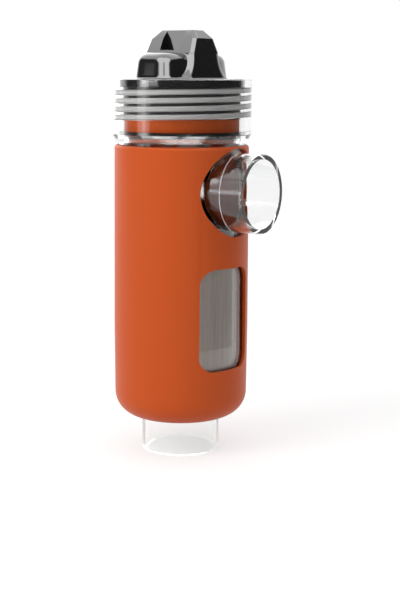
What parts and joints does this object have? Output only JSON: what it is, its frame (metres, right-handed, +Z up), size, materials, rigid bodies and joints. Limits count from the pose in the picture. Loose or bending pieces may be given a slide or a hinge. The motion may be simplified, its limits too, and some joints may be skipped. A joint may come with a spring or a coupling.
{
  "type": "salt water chlorinator",
  "caption": "Upright salt water chlorinator cell: a clear vessel in a windowed orange sleeve, a dark screw head that carries tubular electrodes, and pipe spigots at the bottom and the side.",
  "frame": {"origin": "centre of the lower end of the inlet pipe", "axes": "+Z up the vessel's axis towards the head, +X along the side outlet"},
  "size_m": [0.1322, 0.1124, 0.3406],
  "materials": {
    "clear_acrylic": "polished clear",
    "orange_sleeve": "soft-touch matte",
    "head_gloss": "high gloss",
    "orange_plug": "moulded",
    "black_rubber": "matte",
    "titanium": "brushed",
    "coated_titanium": "dull oxide coat",
    "comb_plastic": "moulded",
    "stainless": "bright"
  },
  "bodies": {
    "vessel": {"vessel_tube": "clear_acrylic", "vessel_floor": "clear_acrylic", "inlet_spigot": "clear_acrylic", "outlet_spigot": "clear_acrylic", "neck_collar": "clear_acrylic", "sleeve": "orange_sleeve"},
    "seal": {"neck_seal": "black_rubber"},
    "head": {"head_cap": "head_gloss", "terminal_cover": "head_gloss", "carrier_plug": "orange_plug", "outer_cathode": "titanium", "anode": "coated_titanium", "inner_cathode": "titanium", "lower_comb": "comb_plastic", "upper_comb": "comb_plastic", "cathode_bridges": "titanium", "anode_stud": "titanium", "cathode_stud": "titanium", "tie_rod": "titanium", "tie_nuts": "titanium", "stud_seals": "black_rubber", "lower_nuts": "titanium", "terminal_washers": "stainless", "terminal_nuts": "stainless", "plug_screws": "stainless", "cover_screws": "stainless", "cable_inlet": "black_rubber"}
  },
  "joints": [
    {"name": "head_lift", "type": "slide", "parent": "vessel", "child": "seal", "axis": [0, 0, 1], "range_m": [0, 0.0244]},
    {"name": "head_turn", "type": "hinge", "parent": "seal", "child": "head", "pos_m": [0, 0, 0.28], "axis": [0, 0, 1], "range_deg": [0, 1350]}
  ],
  "couplings": [
    {"joint": "head_lift", "follows": "head_turn", "m_per_rad": 0.0010345}
  ]
}
